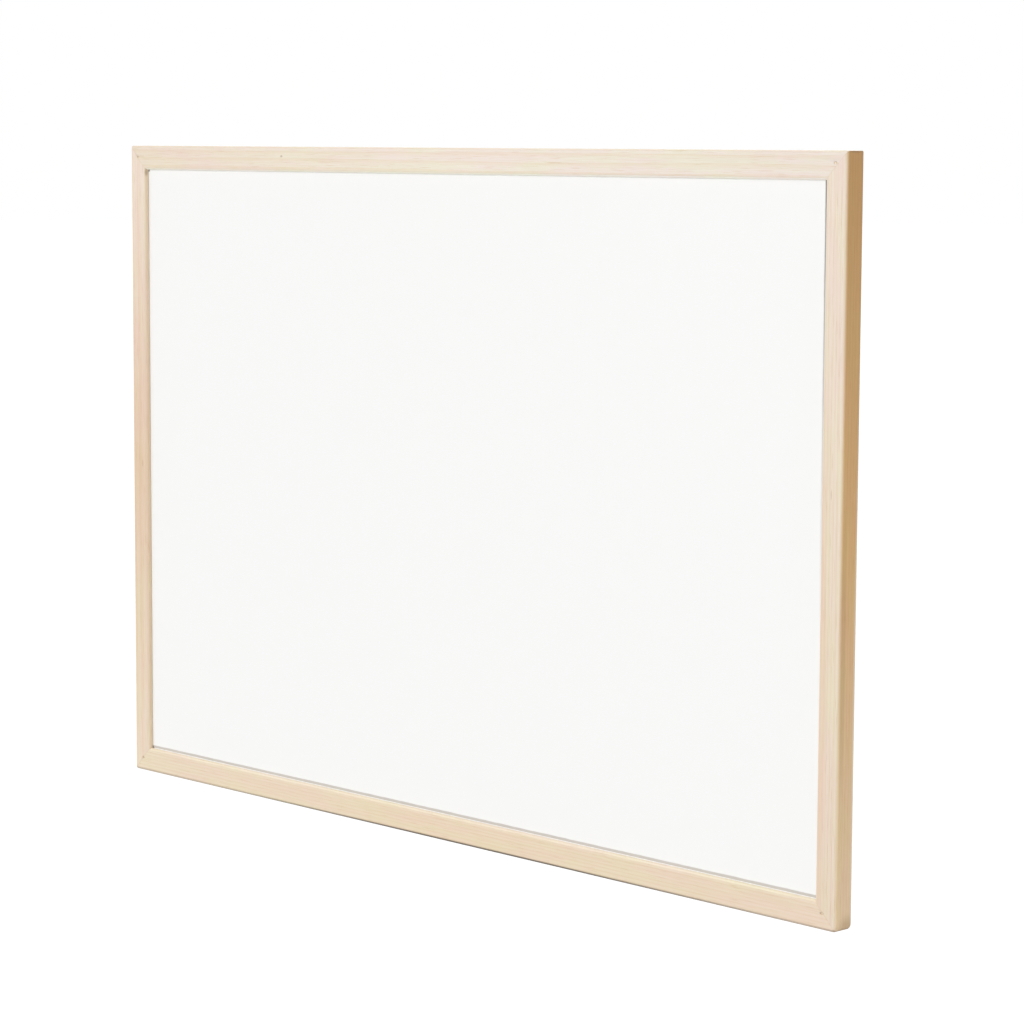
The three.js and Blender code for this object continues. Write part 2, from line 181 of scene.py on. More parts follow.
def skin(name, rings, closed=False, place=Matrix()):
    """A closed skin over rings of points (rows by around by 3): each face joins neighbours on two rings.
    An open run gets a flat face at each end, and a closed one joins its last ring to its first."""
    index = np.arange(rings.shape[0] * rings.shape[1]).reshape(rings.shape[:2])
    here = index if closed else index[:-1]
    there = np.roll(index, -1, axis=0) if closed else index[1:]
    faces = np.stack([here, np.roll(here, -1, axis=1), np.roll(there, -1, axis=1), there], axis=-1)
    faces = faces.reshape(-1, 4).tolist()
    if not closed:
        faces += [index[0, ::-1].tolist(), index[-1].tolist()]
    made = bpy.data.objects.new(name, bpy.data.meshes.new(name))
    made.data.from_pydata(rings.reshape(-1, 3).tolist(), [], faces)
    made.data.transform(place)
    bpy.context.scene.collection.objects.link(made)
    return clean(made)


def shade(piece):
    """Shades the rounds smooth and leaves the corners sharp."""
    piece.data.shade_smooth()
    piece.data.set_sharp_from_angle(angle=SHARP_ABOVE)
    return piece


def cut(piece, cutters):
    """Cuts other closed meshes out of a piece, one after the other, and deletes them."""
    for cutter in cutters:
        step = piece.modifiers.new("cut", "BOOLEAN")
        step.operation = "DIFFERENCE"
        step.solver = "EXACT"
        step.object = cutter
    whole = bpy.context.evaluated_depsgraph_get()
    whole.update()
    piece.data = bpy.data.meshes.new_from_object(piece.evaluated_get(whole))
    piece.modifiers.clear()
    for cutter in cutters:
        bpy.data.objects.remove(cutter)
    return shade(clean(piece))


def finish_piece(piece, material, body, node):
    """Shades a piece, says what it is made of and what it rides on, and hides the CAD node that it stands
    for.
    """
    piece.data.materials.clear()
    piece.data.materials.append(material)
    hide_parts(node)
    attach(piece, body)
    return shade(piece)


member_section = np.concatenate([
    quarter(FRONT_EDGE_RADIUS, FRONT_EDGE_RADIUS, FRONT_EDGE_RADIUS, np.pi),
    flat((FRONT_EDGE_RADIUS, 0), (FACE_WIDTH - SIGHT_EDGE_RADIUS, 0)),
    quarter(FACE_WIDTH - SIGHT_EDGE_RADIUS, SIGHT_EDGE_RADIUS, SIGHT_EDGE_RADIUS, -np.pi / 2),
    quarter(FACE_WIDTH - SAWN_ARRIS_RADIUS, LIP_THICKNESS - SAWN_ARRIS_RADIUS, SAWN_ARRIS_RADIUS, 0),
    [(LAND_WIDTH, LIP_THICKNESS)],
    quarter(LAND_WIDTH - SAWN_ARRIS_RADIUS, frame_depth - SAWN_ARRIS_RADIUS, SAWN_ARRIS_RADIUS, 0),
    flat((LAND_WIDTH - SAWN_ARRIS_RADIUS, frame_depth), (BACK_EDGE_RADIUS, frame_depth)),
    quarter(BACK_EDGE_RADIUS, frame_depth - BACK_EDGE_RADIUS, BACK_EDGE_RADIUS, np.pi / 2),
    flat((0, frame_depth - BACK_EDGE_RADIUS), (0, FRONT_EDGE_RADIUS)),
])


def member_end(half, corner_radius):
    """Where the section's points lie near one mitre, as along and outwards, in even steps from the mitre.
    A point set in by u turns to the mitre on an arc of radius (corner radius - u), and comes from a
    straight run beyond the arc. The mitre stands back by half the glue line."""
    inset = member_section[:, 0]
    radius = np.maximum(corner_radius - inset, GLUE_LINE / np.sqrt(2))
    turn = np.arccos(GLUE_LINE / 2 / radius) - np.pi / 4
    gone = np.linspace(0, corner_radius, 9)[:, None]
    angle = np.maximum(turn - gone / radius, 0)
    straight = np.maximum(gone - turn * radius, 0)
    along = half - inset - radius * (1 - np.sin(angle)) - straight
    return along, -inset - radius * (1 - np.cos(angle))


def member_rings(length, start_radius, end_radius):
    """The section carried from mitre to mitre, as (along, depth, outwards) with the outer front line at
    zero: the first end reversed, straight stations in even shares between, and the other end."""
    inset, depth = member_section.T
    first, first_out = member_end(length / 2, start_radius)
    last, last_out = member_end(length / 2, end_radius)
    share = np.linspace(0, 1, 26)[1:-1, None]
    along = np.concatenate([-first, -first[-1] + share * (first[-1] + last[-1]), last[::-1]])
    middle = np.broadcast_to(-inset, (len(share), len(inset)))
    outwards = np.concatenate([first_out, middle, last_out[::-1]])
    return np.stack([along, np.broadcast_to(depth, along.shape), outwards], axis=-1)


# Where the tones change: behind the back arris, over the front one, at the painted highlight on the sight
# edge, along the painted shade beside the front arris, and at the painted grey shade before the back arris
SIDE_BLEND = 0.8 * MM
NARROW_BLEND = (SIDE_BLEND, SIDE_BLEND)
WIDE_BLEND = (2.6 * MM, 2.2 * MM)
HIGHLIGHT_FROM = 20.4 * MM
HIGHLIGHT_FULL = 21.7 * MM
ARRIS_SHADE_START = 2.7 * MM
ARRIS_SHADE_REACH = 1.6 * MM
ARRIS_SHADE_FULL = 2.5 * MM
ARRIS_SHADE_WIDTH = 7 * MM
BACK_ARRIS_SHADE_WIDTH = 3 * MM
BACK_ARRIS_SHADE_SHARE = 0.3
# Tones of painted shades and of a painted highlight; two of them also serve for grime and for knots
BACK_ARRIS_SHADE_GREY = "#8E8A74"
GRIME_AND_SHADE_BROWN = "#5E5140"
FOOT_SHADE_BROWN = "#453B2F"
CORNER_SHADE_BROWN = "#8F7A52"
KNOT_AND_SHADE_BROWN = "#9A7650"
INNER_SHADE_TAN = "#E5BCA0"
SIDE_BACK_HIGHLIGHT = "#FBF0DF"

# The grain: growth rings, and three noises by their width, how much longer than wide they are, detail and
# roughness, and where and how they rise from none to full. The tints go from none to full too. At scale 1
# the bands of a wave node lie WAVE_PITCH apart.
WAVE_PITCH = np.pi / 10
RING_SPACING = 2.6 * MM
RING_STRETCH = 30
RING_LEAN = 0.006
GRAIN_NOISES = {
    "fibre": (1.1 * MM, 45, 4, 0.6, (0.3, 0.7), "LINEAR"),
    "pore": (0.45 * MM, 45, 1, 0.4, (0.62, 0.78), "LINEAR"),
    "drift": (13 * MM, 6, 3, 0.65, (0.35, 0.65), "SMOOTHSTEP"),
}
GRAIN_TINTS = {
    "drift": ("#FFF9F7", "#FDFEF3"),
    "latewood": ("#FFFFFF", "#FCF8F1"),
    "fibre": ("#FFFFFF", "#FAF7F1"),
    "pore": ("#FFFFFF", "#F0E5D6"),
    "glue": ("#FFFFFF", "#F8F4EE"),
}
GLUE_STAIN_WIDTH = 0.6 * MM
PLANER_PITCH = 1.9 * MM
PLANER_FADE = 0.4 * MM
GRAIN_RELIEF = 0.015 * MM
WOOD_ROUGHNESS = (0.52, 0.64)
MARK_CORE_SHARE = 0.3

# For a change that starts and ends softly
SMOOTH = {"interpolation_type": "SMOOTHSTEP"}


def plain_tones(node, member, half, along, depth, outwards):
    """A member's tones without its grain. They change from end to end, on the face and on the outer side,
    and blend over the arris. A painted highlight lightens the sight edge, a painted grey shade darkens the
    outer side before the back arris, and a painted shade darkens it beside the front arris, which on the
    foot is its underside."""
    share = node("MapRange", {"Value": along, "From Min": -half, "From Max": half})["Result"]
    face = node("ValToRGB", {"Fac": share}, zip((0, 0.5, 1), member["face"]))["Color"]
    side = node("ValToRGB", {"Fac": share}, zip((0, 0.5, 1), member["side"]))["Color"]
    # Painted highlight: the sight edge turns to a paler tone
    sight_highlight = node("MapRange", {
        "Value": outwards, "From Min": -HIGHLIGHT_FROM, "From Max": -HIGHLIGHT_FULL, "To Max": member["sanded"],
    }, **SMOOTH)["Result"]
    face = node("Mix", {0: sight_highlight, 6: face, 7: member["sight"]}, data_type="RGBA")[2]
    # Painted grey shade on the outer side, strongest at the back arris
    behind = node("Math", {0: frame_depth, 1: depth}, operation="SUBTRACT")["Value"]
    back_arris_shaded = node("MapRange", {
        "Value": behind, "From Max": BACK_ARRIS_SHADE_WIDTH, "To Min": BACK_ARRIS_SHADE_SHARE, "To Max": 0,
    })["Result"]
    side = node("Mix", {0: back_arris_shaded, 6: side, 7: BACK_ARRIS_SHADE_GREY}, data_type="RGBA")[2]

    behind = node("Math", {0: behind, 1: SIDE_BLEND}, operation="ADD")["Value"]
    from_face = node("Math", {0: depth, 1: behind}, operation="MINIMUM")["Value"]
    past_arris = node("Math", {0: from_face, 1: outwards}, operation="ADD")["Value"]
    on_side = node("MapRange", {
        "Value": past_arris, "From Min": -member["blend"][0], "From Max": member["blend"][1],
    }, **SMOOTH)["Result"]
    colour = node("Mix", {0: on_side, 6: face, 7: side}, data_type="RGBA")[2]
    # Painted shade on the outer side beside the front arris, which on the foot is its underside
    arris_shaded = node("MapRange", {
        "Value": depth, "From Min": ARRIS_SHADE_FULL, "From Max": ARRIS_SHADE_WIDTH,
        "To Min": member["grime"], "To Max": 0,
    }, **SMOOTH)["Result"]
    arris_shaded = node("MapRange", {
        "Value": past_arris, "From Min": -ARRIS_SHADE_START, "From Max": -ARRIS_SHADE_REACH, "To Max": arris_shaded,
    }, **SMOOTH)["Result"]
    return node("Mix", {0: arris_shaded, 6: colour, 7: GRIME_AND_SHADE_BROWN}, data_type="RGBA")[2]


def grain(node, place, pith):
    """How much of each part of the grain lies at a place. Growth rings are circles about the pith, pulled
    long, and lean a little so that they run out. The rest are noises pulled long."""
    ringed = node("Mapping", {
        "Vector": place, "Location": pith, "Rotation": (0, RING_LEAN, RING_LEAN),
        "Scale": (1 / RING_STRETCH, 1, 1),
    })["Vector"]
    rings = node("TexWave", {
        "Vector": ringed, "Scale": WAVE_PITCH / RING_SPACING, "Distortion": 2.2, "Detail": 3,
        "Detail Scale": 0.6, "Detail Roughness": 0.6,
    }, wave_type="RINGS", rings_direction="X", wave_profile="SAW")["Fac"]
    amounts = {"latewood": node("MapRange", {"Value": rings, "From Min": 0.35}, **SMOOTH)["Result"]}
    for part, (width, stretch, detail, roughness, (low, high), curve) in GRAIN_NOISES.items():
        pulled = node("Mapping", {"Vector": place, "Location": pith, "Scale": (1 / stretch, 1, 1)})["Vector"]
        amount = node("TexNoise", {
            "Vector": pulled, "Scale": 1 / width, "Detail": detail, "Roughness": roughness,
        })["Fac"]
        amounts[part] = node("MapRange", {
            "Value": amount, "From Min": low, "From Max": high,
        }, interpolation_type=curve)["Result"]
    return amounts


def softwood(name, to_member, length, member, marks):
    """Pale softwood, planed and sanded, with a clear matt sealer: fine straight grain along the member,
    faint growth rings, a slow drift of pink and yellow, and short dark pores. It reads (along, depth,
    outwards) on the member."""
    wood, shader, node = new_material(name, "#E9D6BA", Specular_IOR_Level=0.4)
    half = length / 2
    coords = node("TexCoord")["Object"]
    place = node("Mapping", {
        "Vector": coords, "Rotation": to_member.to_euler(), "Location": to_member.translation,
    })["Vector"]
    along, depth, outwards = node("SeparateXYZ", {"Vector": place})
    colour = plain_tones(node, member, half, along, depth, outwards)
    amounts = grain(node, place, member["pith"])

    # Glue and dust in the mitre's joint line
    beside = node("Math", {0: along}, operation="ABSOLUTE")["Value"]
    beside = node("Math", {0: outwards, 1: beside}, operation="SUBTRACT")["Value"]
    amounts["glue"] = node("MapRange", {
        "Value": beside, "From Min": -half, "From Max": GLUE_STAIN_WIDTH - half, "To Min": 1, "To Max": 0,
    })["Result"]
    for part, (none, full) in GRAIN_TINTS.items():
        tint = node("Mix", {0: amounts[part], 6: none, 7: full}, data_type="RGBA")[2]
        colour = node("Mix", {0: 1.0, 6: colour, 7: tint}, data_type="RGBA", blend_type="MULTIPLY")[2]

    # The back shows the planer's ripples, the rest only its sanded grain
    on_back = node("MapRange", {
        "Value": depth, "From Min": frame_depth - 2 * PLANER_FADE, "From Max": frame_depth - PLANER_FADE,
    })["Result"]
    ripple = node("TexWave", {
        "Vector": place, "Scale": WAVE_PITCH / PLANER_PITCH, "Distortion": 0.6, "Detail": 1,
    }, wave_type="BANDS", bands_direction="X")["Fac"]
    ripple = node("Math", {0: ripple, 1: on_back}, operation="MULTIPLY")["Value"]
    relief = node("Math", {0: amounts["fibre"], 1: amounts["pore"]}, operation="SUBTRACT")["Value"]
    relief = node("Math", {0: relief, 1: ripple}, operation="ADD")["Value"]

    # Knots, stains, painted shade and highlights, and swollen fibres round each pin: an oval that fades
    # outwards
    for at, half_size, strength, tone, swelling in marks:
        away = node("VectorMath", {0: place, 1: at}, operation="SUBTRACT")["Vector"]
        away = node("VectorMath", {
            0: away, 1: [1 / size for size in half_size],
        }, operation="MULTIPLY")["Vector"]
        away = node("VectorMath", {0: away}, operation="LENGTH")["Value"]
        near = node("MapRange", {
            "Value": away, "From Min": MARK_CORE_SHARE, "To Min": 1, "To Max": 0,
        }, **SMOOTH)["Result"]
        stain = node("Math", {0: near, 1: strength}, operation="MULTIPLY")["Value"]
        colour = node("Mix", {0: stain, 6: colour, 7: tone}, data_type="RGBA")[2]
        relief = node("Math", {
            0: near, 1: swelling / GRAIN_RELIEF, 2: relief,
        }, operation="MULTIPLY_ADD")["Value"]

    rough = node("MapRange", {
        "Value": amounts["fibre"], "To Min": WOOD_ROUGHNESS[0], "To Max": WOOD_ROUGHNESS[1],
    })["Result"]
    bump = node("Bump", {"Height": relief, "Distance": GRAIN_RELIEF})["Normal"]
    join(wood, shader, Base_Color=colour, Roughness=rough, Normal=bump)
    return wood


CORNERS = {"top_left": (-1, 1), "top_right": (1, 1), "bottom_right": (1, -1), "bottom_left": (-1, -1)}
pin_places = {corner: sum(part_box(f"corner_pin_{corner}"), Vector()) / 2 for corner in CORNERS}

# What each pin left on the face: a dash or an oval that lies level, as half width and half height in
# millimetres, strength and tone
PIN_SWELLING = 0.06 * MM
BRUISE_DEPTH = 2
pin_bruises = {
    "top_left": (2.6, 1.1, 0.45, "#94836A"),
    "top_right": (3.4, 1.7, 0.3, "#AAA297"),
    "bottom_right": (3.4, 1.3, 0.4, "#8A7860"),
    "bottom_left": (2.8, 1.1, 0.35, "#A88E6C"),
}

# The members in turn round the frame, clockwise from the top: how far each is turned, the corners at its
# start and end, and its tones from start to end on the face and on the outer side. Then the tone and
# strength of the painted highlight on the sight edge, the strength of the painted shade beside the front
# arris, the blend over the arris, where the tree's pith lay in metres, and marks in millimetres: the place
# (along, depth, outwards), half size, strength and tone.
members = {
    "top_rail": {
        "turn": 0, "ends": ("top_left", "top_right"),
        "face": ("#F0E3DA", "#F4EDE6", "#F1E9E4"), "side": ("#F4EADD", "#F5EDE3", "#F4ECE1"),
        "sight": "#FFFEFB", "sanded": 1, "grime": 0, "blend": NARROW_BLEND, "pith": (0.31, 0.075, 0.04),
        "marks": [
            ((-223.5, 0, -8.6), (2.2, 3, 1.4), 0.5, KNOT_AND_SHADE_BROWN),
            # Painted shade in the inner top left corner
            ((-429, 2, -21.8), (3.2, 3, 1.4), 0.5, CORNER_SHADE_BROWN),
        ],
    },
    "right_stile": {
        "turn": -90, "ends": ("top_right", "bottom_right"),
        # The outer side is a tan wood, with painted shade that darkens it towards the top
        "face": ("#F2E6DF", "#EDE3D4", "#EBDDD0"), "side": ("#CAA16E", "#DFB986", "#F0DABB"),
        "sight": "#FFFAF2", "sanded": 0.3, "grime": 0, "blend": WIDE_BLEND, "pith": (1.7, 0.06, -0.055),
        "marks": [
            ((-39, 0, -11.6), (6, 2, 0.6), 0.35, KNOT_AND_SHADE_BROWN),
            # Painted shade at the top end and at the foot of the outer side
            ((-301, 10, 0), (3.5, 16, 5), 0.5, GRIME_AND_SHADE_BROWN),
            ((301, 14, 0), (17, 16, 8), 0.42, KNOT_AND_SHADE_BROWN),
            ((301, 11, 0), (5, 14, 5), 0.5, KNOT_AND_SHADE_BROWN),
            ((86, 3, 0), (150, 4, 4), 0.14, GRIME_AND_SHADE_BROWN),
            # A painted highlight along the back half of the outer side, lower down
            ((120, 18.5, 0), (330, 4.2, 5), 0.5, SIDE_BACK_HIGHLIGHT),
            # Painted shade on the face beside the sight edge, lower down
            ((115, 1, -20), (320, 6, 9), 0.3, INNER_SHADE_TAN),
        ],
    },
    "bottom_rail": {
        "turn": 180, "ends": ("bottom_right", "bottom_left"),
        # The underside's brown tones are painted shade, darkest at the right end
        "face": ("#EDDECE", "#EEDECA", "#EFE1D1"), "side": ("#AE916B", "#B59A74", "#BFA580"),
        "sight": "#FFF6E7", "sanded": 1, "grime": 0.32, "blend": NARROW_BLEND, "pith": (2.9, -0.05, -0.06),
        "marks": [
            # Painted shade along the underside of the front arris, and under the right end
            ((-39, 1.5, -0.5), (440, 5, 2.6), 0.9, FOOT_SHADE_BROWN),
            ((-449, 13, 0), (10, 15, 5), 0.6, KNOT_AND_SHADE_BROWN),
        ],
    },
    "left_stile": {
        "turn": 90, "ends": ("bottom_left", "top_left"),
        "face": ("#EFE2D2", "#E7D0BB", "#F4E7E0"), "side": ("#EBDAC8", "#EBDAC8", "#EFE2D5"),
        "sight": "#F3DFC5", "sanded": 0.6, "grime": 0, "blend": NARROW_BLEND, "pith": (4.3, 0.07, 0.03),
        "marks": [
            ((-2, 0, -15.4), (5, 2, 0.8), 0.4, KNOT_AND_SHADE_BROWN),
            # Painted shade in the inner top left corner
            ((275, 2, -21.8), (5, 3, 1.4), 0.5, CORNER_SHADE_BROWN),
        ],
    },
}

for name, member in members.items():
    upright = member["turn"] % 180 != 0
    length = board_height if upright else board_width
    across = board_width if upright else board_height
    outer_line = Vector((0, board_low.y - board_middle.y, across / 2))
    turn = Matrix.Rotation(np.radians(member["turn"]), 4, "Y")
    to_board = Matrix.Translation(board_middle) @ turn.inverted() @ Matrix.Translation(outer_line)
    to_member = to_board.inverted()

    marks = [
        (MM * Vector(at), MM * Vector(half_size), strength, tone, 0)
        for at, half_size, strength, tone in member["marks"]
    ]
    for corner in member["ends"]:
        at = to_member @ pin_places[corner]
        half_width, half_height, strength, tone = pin_bruises[corner]
        if upright:
            half_width, half_height = half_height, half_width
        half_size = MM * Vector((half_width, BRUISE_DEPTH, half_height))
        marks.append((Vector((at.x, 0, at.z)), half_size, strength, tone, PIN_SWELLING))
    wood = softwood(f"sealed pale softwood, {name.replace('_', ' ')}", to_member, length, member, marks)
    rings = member_rings(length, *[CORNER_RADII[corner] for corner in member["ends"]])
    made = skin(f"{name}_wood", rings, place=to_board)
    member["wood"] = finish_piece(made, wood, "board", name)


def wood_at(corner):
    """The rail and the stile that meet at a corner."""
    level, side = corner.split("_")
    return members[f"{level}_rail"]["wood"], members[f"{side}_stile"]["wood"]


# The panel
# A sheet of steel with a baked white lacquer, glued to a light fibreboard, with brown hardboard behind. It
# lies loose against the back of the lip.
LACQUER_WHITE = "#F9F9F8"
LACQUER_ROUGHNESS = (0.32, 0.36)
LIP_SHADE_GREY = "#70675D"
BOTTOM_LIP_SHADE = "#7C6440"
SHADE_LINE_ROUGHNESS = 0.5
SHADE_LINE_WAVE = 0.8 * MM
SHADE_LINE_TAIL = 75 * MM
CORNER_SHADE_CORE = 1.2 * MM
CORNER_SHADE_REACH = 2.8 * MM
CORNER_SHADE_STRENGTH = 0.85
PEEL_WIDTH = 2.2 * MM
PEEL_RELIEF = 0.004 * MM
SMEAR_LENGTH = 14 * MM

# Baked lacquer is a smooth, half glossy film, with a faint orange peel and the smears of the eraser
lacquer, shader, node = new_material("baked white lacquer on steel", LACQUER_WHITE, IOR=1.5)
place = node("TexCoord")["Object"]
x, y, z = node("SeparateXYZ", {"Vector": place})
smear = node("TexNoise", {"Vector": place, "Scale": 1 / SMEAR_LENGTH, "Detail": 3})["Fac"]

# Painted shade beside the lips, strongest at the top right and along the foot, where the frame's shade
# falls.
# For each: the axis across it and its place, the way to the middle, the other axis and the stretch over
# which the shade thickens, its strength at both ends of that, where it begins and where it fades out, in
# millimetres off the lip, and its tone
sight_low = board_low + Vector((FACE_WIDTH, 0, FACE_WIDTH))
sight_high = board_high - Vector((FACE_WIDTH, 0, FACE_WIDTH))
lip_shade_lines = [
    (x, sight_high.x, -1, z, (board_middle.z - SHADE_LINE_TAIL, sight_high.z), (0, 0.88), (-1, 0), (2.6, 3.9),
     LIP_SHADE_GREY),
    (z, sight_low.z, 1, x, (sight_low.x, sight_high.x), (0.47, 0.47), (0.3, 0.9), (2.3, 3.5), BOTTOM_LIP_SHADE),
    (x, sight_low.x, 1, z, (sight_low.z, sight_high.z), (0.04, 0.03), (-1, 0), (0.5, 1.6), LIP_SHADE_GREY),
]
lip_shades = []
for axis, edge, inwards, other, ends, strengths, rise, fade, tone in lip_shade_lines:
    gap = node("Math", {0: axis, 1: inwards, 2: -inwards * edge}, operation="MULTIPLY_ADD")["Value"]
    wavy = node("Math", {0: smear, 1: SHADE_LINE_WAVE, 2: gap}, operation="MULTIPLY_ADD")["Value"]
    strength = node("MapRange", {
        "Value": other, "From Min": ends[0], "From Max": ends[1],
        "To Min": strengths[0], "To Max": strengths[1],
    })["Result"]
    risen = node("MapRange", {
        "Value": gap, "From Min": rise[0] * MM, "From Max": rise[1] * MM, "To Max": strength,
    }, **SMOOTH)["Result"]
    kept = node("MapRange", {
        "Value": wavy, "From Min": fade[0] * MM + SHADE_LINE_WAVE / 2, "From Max": fade[1] * MM + SHADE_LINE_WAVE / 2,
        "To Min": 1, "To Max": 0,
    }, **SMOOTH)["Result"]
    lip_shades.append((node("Math", {0: risen, 1: kept}, operation="MULTIPLY")["Value"], tone))
# Painted shadow in the two inner corners on the left, where the lips meet
for level in (sight_low.z, sight_high.z):
    away = node("VectorMath", {
        0: place, 1: (sight_low.x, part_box("writing_sheet")[0].y, level),
    }, operation="DISTANCE")["Value"]
    lip_shades.append((node("MapRange", {
        "Value": away, "From Min": CORNER_SHADE_CORE, "From Max": CORNER_SHADE_REACH,
        "To Min": CORNER_SHADE_STRENGTH, "To Max": 0,
    }, **SMOOTH)["Result"], LIP_SHADE_GREY))
# The painted shades go over the white, and the lacquer is rougher where they lie
colour, lip_shaded = LACQUER_WHITE, 0
for strength, tone in lip_shades:
    colour = node("Mix", {0: strength, 6: colour, 7: tone}, data_type="RGBA")[2]
    lip_shaded = node("Math", {0: lip_shaded, 1: strength}, operation="MAXIMUM")["Value"]

rough = node("MapRange", {
    "Value": smear, "To Min": LACQUER_ROUGHNESS[0], "To Max": LACQUER_ROUGHNESS[1],
})["Result"]
rough = node("Math", {0: lip_shaded, 1: SHADE_LINE_ROUGHNESS, 2: rough}, operation="MULTIPLY_ADD")["Value"]
peel = node("TexNoise", {"Vector": place, "Scale": 1 / PEEL_WIDTH, "Detail": 1})["Fac"]
bump = node("Bump", {"Height": peel, "Distance": PEEL_RELIEF})["Normal"]
join(lacquer, shader, Base_Color=colour, Roughness=rough, Normal=bump)

# Raw fibreboard is steamed wood fibre pressed lightly: fluffy, quite matt and straw brown
FLUFF_WIDTH = 0.8 * MM
FLUFF_RELIEF = 0.2 * MM

fibreboard, shader, node = new_material("raw fibreboard", "#B79A70", Roughness=0.95, Specular_IOR_Level=0.2)
place = node("TexCoord")["Object"]
fluff = node("TexNoise", {"Vector": place, "Scale": 1 / FLUFF_WIDTH, "Detail": 4})["Fac"]
colour = node("Mix", {0: fluff, 6: "#A88A60", 7: "#C6AB83"}, data_type="RGBA")[2]
bump = node("Bump", {"Height": fluff, "Distance": FLUFF_RELIEF})["Normal"]
join(fibreboard, shader, Base_Color=colour, Normal=bump)

# Hardboard is wood fibre pressed hot with its own resin: brown and mottled, hard and slightly shiny, and it
# keeps the weave of the wire screen that it was pressed on
SCREEN_PITCH = 1.6 * MM
SCREEN_RELIEF = 0.09 * MM
SCREEN_SHADE = 0.35
CLUMP_WIDTH = 3.5 * MM
STRAND_WIDTH = 0.5 * MM
STRAND_SHARE = 0.35
HARDBOARD_TONES = ("#6E4A2D", "#86603F", "#A17A54")
HARDBOARD_ROUGHNESS = (0.62, 0.8)

hardboard, shader, node = new_material(
    "screen-backed brown hardboard", HARDBOARD_TONES[1], Specular_IOR_Level=0.35)
place = node("TexCoord")["Object"]
weave = [node("TexWave", {
    "Vector": place, "Scale": WAVE_PITCH / SCREEN_PITCH, "Distortion": 0.5, "Detail": 2,
}, wave_type="BANDS", bands_direction=direction)["Fac"] for direction in ("X", "Z")]
screen = node("Math", {0: weave[0], 1: weave[1]}, operation="MULTIPLY")["Value"]
clump = node("TexNoise", {"Vector": place, "Scale": 1 / CLUMP_WIDTH, "Detail": 5, "Roughness": 0.65})["Fac"]
strand = node("TexNoise", {
    "Vector": place, "Scale": 1 / STRAND_WIDTH, "Detail": 3, "Distortion": 1.5,
})["Fac"]
mottle = node("Math", {0: clump, 1: strand}, operation="ADD")["Value"]
mottle = node("MapRange", {"Value": mottle, "From Min": 0.75, "From Max": 1.3})["Result"]
colour = node("ValToRGB", {"Fac": mottle}, zip((0, 0.5, 1), HARDBOARD_TONES))["Color"]
dark = node("MapRange", {"Value": screen, "To Min": SCREEN_SHADE, "To Max": 0})["Result"]
colour = node("Mix", {0: dark, 6: colour, 7: "#5A3B23"}, data_type="RGBA")[2]
rough = node("MapRange", {
    "Value": mottle, "To Min": HARDBOARD_ROUGHNESS[0], "To Max": HARDBOARD_ROUGHNESS[1],
})["Result"]
relief = node("Math", {0: strand, 1: STRAND_SHARE, 2: screen}, operation="MULTIPLY_ADD")["Value"]
bump = node("Bump", {"Height": relief, "Distance": SCREEN_RELIEF})["Normal"]
join(hardboard, shader, Base_Color=colour, Roughness=rough, Normal=bump)

for node_name, material in {
    "writing_sheet": lacquer, "core_board": fibreboard, "back_board": hardboard,
}.items():
    mesh = frame["nodes"][node_name].data
    mesh.materials.clear()
    mesh.materials.append(material)

# Corner pins
# Round steel wire with an upset head, a dimple in it from the punch, gripping rings under the head and a
# cut point. Each is driven through the face beside the mitre and set just below it. Profiles are
# (radius, depth) in millimetres.
PIN_HEAD = np.array([
    (0.05, 0.16), (0.4, 0.15), (0.75, 0.06), (0.95, 0), (1.12, 0.03), (1.2, 0.14), (1.2, 0.66), (1.1, 0.78),
    (0.9, 0.8), (0.74, 0.88),
])
PIN_SHANK_RADIUS = 0.7
PIN_RING_RELIEF = 0.05
PIN_RING_PITCH = 0.45
PIN_RINGS = (1.1, 3.8)
PIN_TIP = np.array([(0.7, 6.5), (0.55, 6.9), (0.05, 8)])
PIN_HOLE = np.array([
    (0.05, -1), (1.7, -1), (1.42, 0), (1.29, 0.07), (1.25, 0.2), (1.24, 0.84), (0.76, 0.9), (0.76, 8.05),
    (0.05, 8.06),
])


def turned(name, profile, place, sides=32, turn=0):
    """A turned piece: a profile of radii and depths in millimetres, carried round an axis that runs into
    the wall through place. A radius may change round the axis, as on a thread."""
    around = np.linspace(0, 2 * np.pi, sides, endpoint=False) + turn
    radius, depth = profile
    points = np.broadcast_arrays(radius * np.cos(around), depth, radius * np.sin(around))
    return skin(name, MM * np.stack(points, axis=-1), place=Matrix.Translation(place))


def columns(profile):
    """A profile's table as a column of radii and a column of depths."""
    return profile[:, :1], profile[:, 1:]


def clouded(name, tones, roughness, cloud_width, relief,
            contrast=(0.35, 0.65), noise_roughness=0.6, **numbers):
    """A finish of soft clouds, in which tone and roughness drift together, and a fine relief. Tones and
    roughness go from the hollows to the heights."""
    made, shader, node = new_material(name, tones[1], **numbers)
    cloud = node("TexNoise", {
        "Vector": node("TexCoord")["Object"], "Scale": 1 / cloud_width, "Detail": 4,
        "Roughness": noise_roughness,
    })["Fac"]
    cloud = node("MapRange", {"Value": cloud, "From Min": contrast[0], "From Max": contrast[1]})["Result"]
    colour = node("Mix", {0: cloud, 6: tones[0], 7: tones[1]}, data_type="RGBA")[2]
    rough = node("MapRange", {"Value": cloud, "To Min": roughness[0], "To Max": roughness[1]})["Result"]
    bump = node("Bump", {"Height": cloud, "Distance": relief})["Normal"]
    join(made, shader, Base_Color=colour, Roughness=rough, Normal=bump)
    return made


